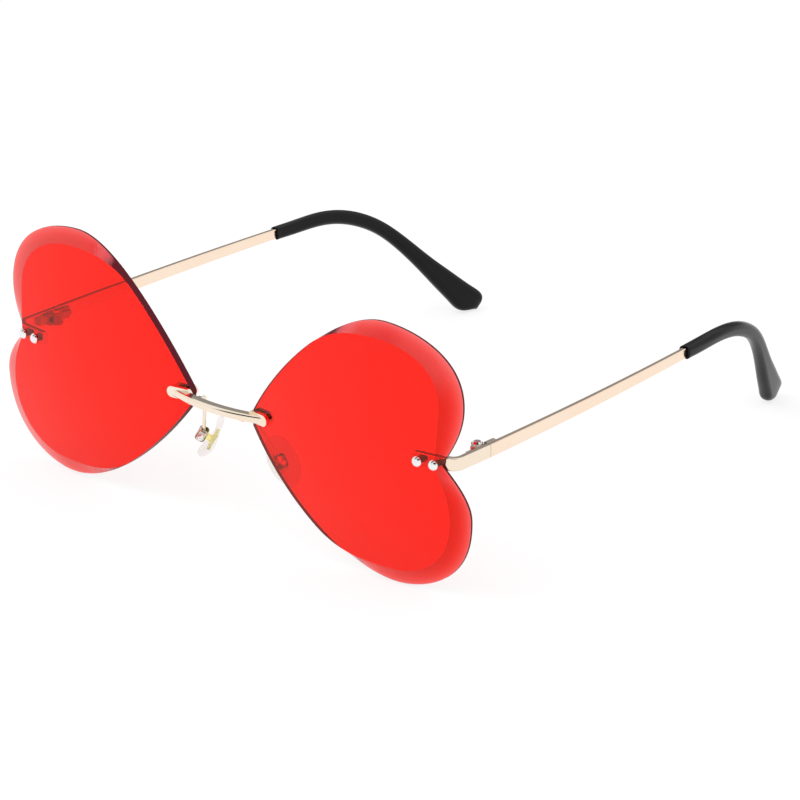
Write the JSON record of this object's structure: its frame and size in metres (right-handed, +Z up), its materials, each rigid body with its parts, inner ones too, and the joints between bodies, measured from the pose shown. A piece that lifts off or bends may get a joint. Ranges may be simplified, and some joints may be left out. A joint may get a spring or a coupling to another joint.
{
  "type": "heart shaped sunglasses",
  "caption": "Rimless sunglasses with sideways heart shaped red lenses, a gold bridge, rocking clear nose pads and folding gold temples with curved black tips.",
  "frame": {"origin": "middle of the footprint, on the floor that the lens bottoms and temple tips stand on", "axes": "+Z up, the lens fronts face -Y, the temples run back along +Y, +X is the wearer's left"},
  "size_m": [0.138, 0.1494, 0.0591],
  "materials": {
    "lens_red": "see-through red polycarbonate, polished",
    "gold_metal": "pale champagne gold plating, polished",
    "silver_metal": "polished",
    "black_plastic": "black, satin",
    "clear_silicone": "clear silicone",
    "pad_yellow": "see-through yellow",
    "clear_plastic": "clear"
  },
  "bodies": {
    "front": {"lens_left": "lens_red", "lens_right": "lens_red", "bridge": "gold_metal", "bridge_plate_left": "gold_metal", "bridge_plate_right": "gold_metal", "bridge_bush_left": "clear_plastic", "bridge_bush_right": "clear_plastic", "pad_arm_left": "gold_metal", "pad_arm_right": "gold_metal", "pad_box_left": "gold_metal", "pad_box_right": "gold_metal", "pad_screw_left": "silver_metal", "pad_screw_right": "silver_metal", "endpiece_left": "gold_metal", "endpiece_right": "gold_metal", "lens_rivets_left": "silver_metal", "lens_rivets_right": "silver_metal", "rivet_bushes_left": "clear_plastic", "rivet_bushes_right": "clear_plastic", "hinge_front_left": "gold_metal", "hinge_front_right": "gold_metal", "hinge_screw_left": "silver_metal", "hinge_screw_right": "silver_metal"},
    "left_arm": {"hinge_temple_left": "gold_metal", "temple_left": "gold_metal", "temple_tip_left": "black_plastic"},
    "left_pad": {"pad_insert_left": "pad_yellow", "nose_pad_left": "clear_silicone"},
    "right_arm": {"hinge_temple_right": "gold_metal", "temple_right": "gold_metal", "temple_tip_right": "black_plastic"},
    "right_pad": {"pad_insert_right": "pad_yellow", "nose_pad_right": "clear_silicone"}
  },
  "joints": [
    {"name": "left_hinge", "type": "hinge", "parent": "front", "child": "left_arm", "pos_m": [0.0623, -0.05801, 0.0311], "axis": [0, 0, 1], "range_deg": [0, 85]},
    {"name": "left_pad_rock", "type": "hinge", "parent": "front", "child": "left_pad", "pos_m": [0.0122, -0.06421, 0.0171], "axis": [-0.4515, -0.8387, -0.3046], "range_deg": [-12, 12]},
    {"name": "right_hinge", "type": "hinge", "parent": "front", "child": "right_arm", "pos_m": [-0.0623, -0.05801, 0.0311], "axis": [0, 0, -1], "range_deg": [0, 75]},
    {"name": "right_pad_rock", "type": "hinge", "parent": "front", "child": "right_pad", "pos_m": [-0.0122, -0.06421, 0.0171], "axis": [0.4515, -0.8387, -0.3046], "range_deg": [-12, 12]}
  ]
}
